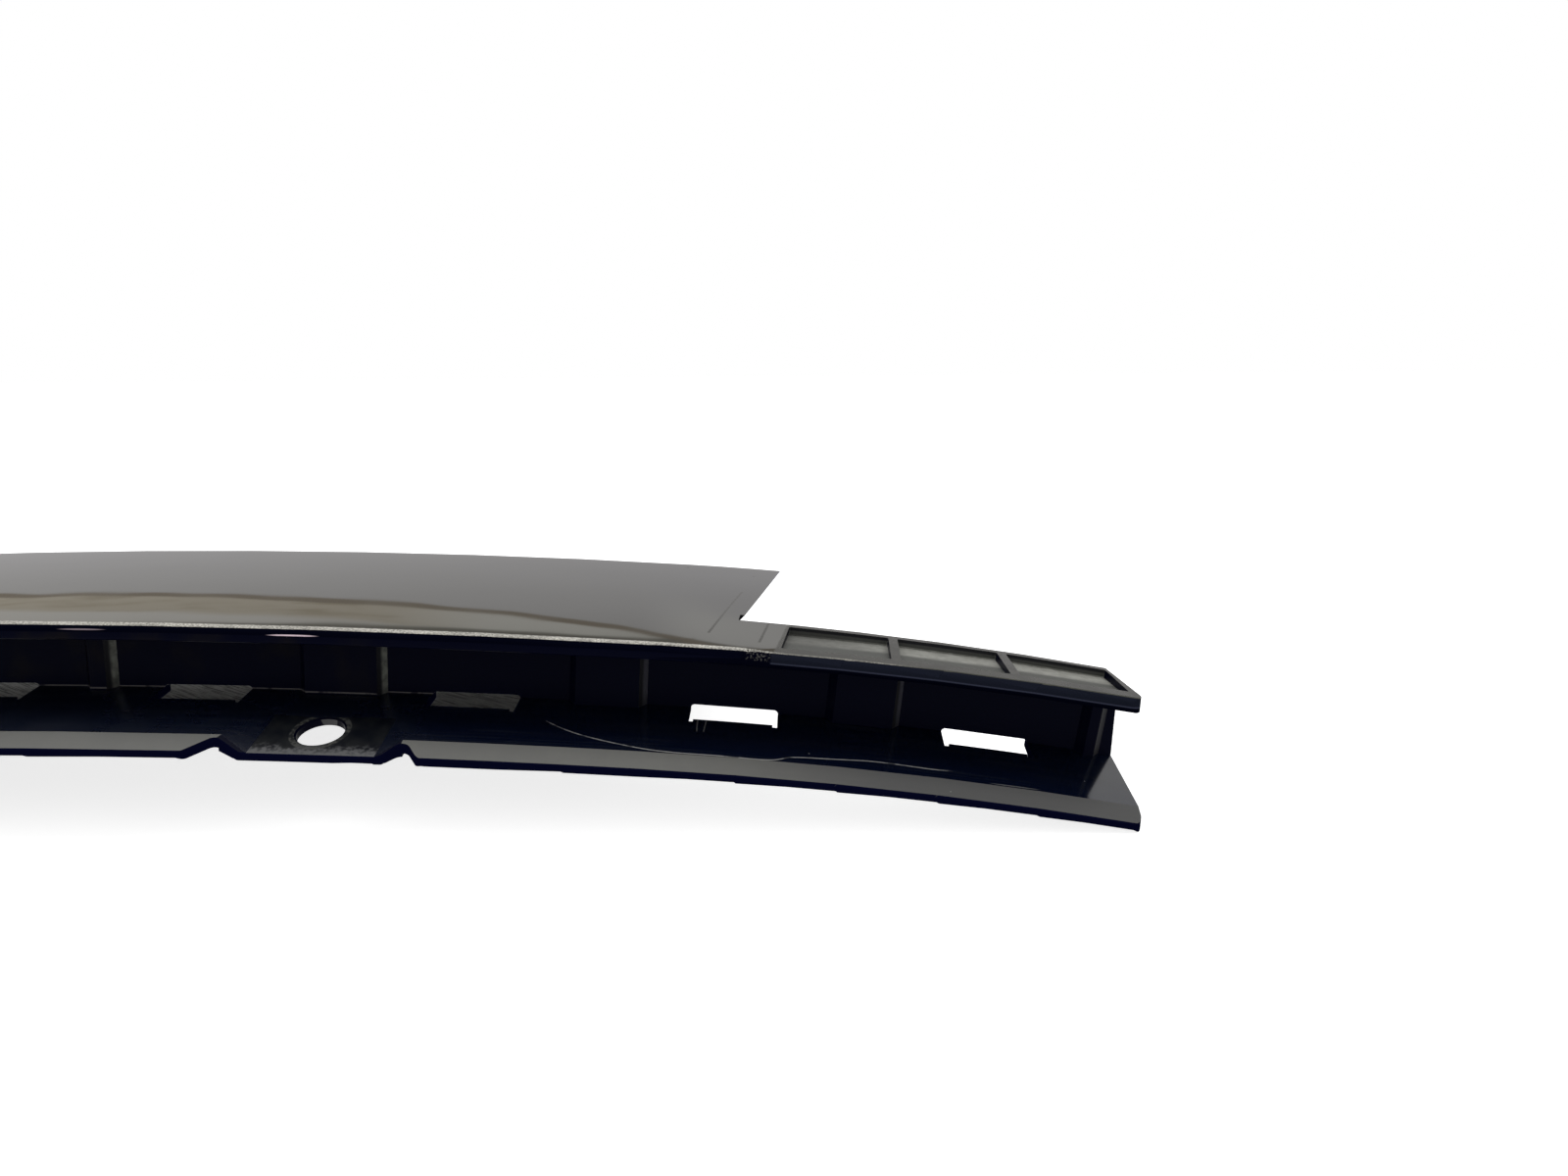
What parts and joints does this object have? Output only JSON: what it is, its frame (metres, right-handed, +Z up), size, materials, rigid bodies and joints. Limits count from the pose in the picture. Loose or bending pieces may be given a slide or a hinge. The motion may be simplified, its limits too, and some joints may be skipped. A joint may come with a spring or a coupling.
{
  "type": "vehicle b-pillar moulding",
  "caption": "Bowed plastic pillar moulding with a gloss outer panel, a glass run channel, a screw flange and a pocketed end arm.",
  "frame": {"origin": "centre of the bounding box, at the level of the floor that the moulding lies on, outer face up", "axes": "+X along the length towards the arm's tip, +Y from the glass side to the panel's rear edge, +Z up"},
  "size_m": [0.479, 0.1055, 0.0358],
  "materials": {
    "gloss_black": "gloss"
  },
  "bodies": {
    "root": {"pillar_moulding": "gloss_black"}
  },
  "joints": []
}
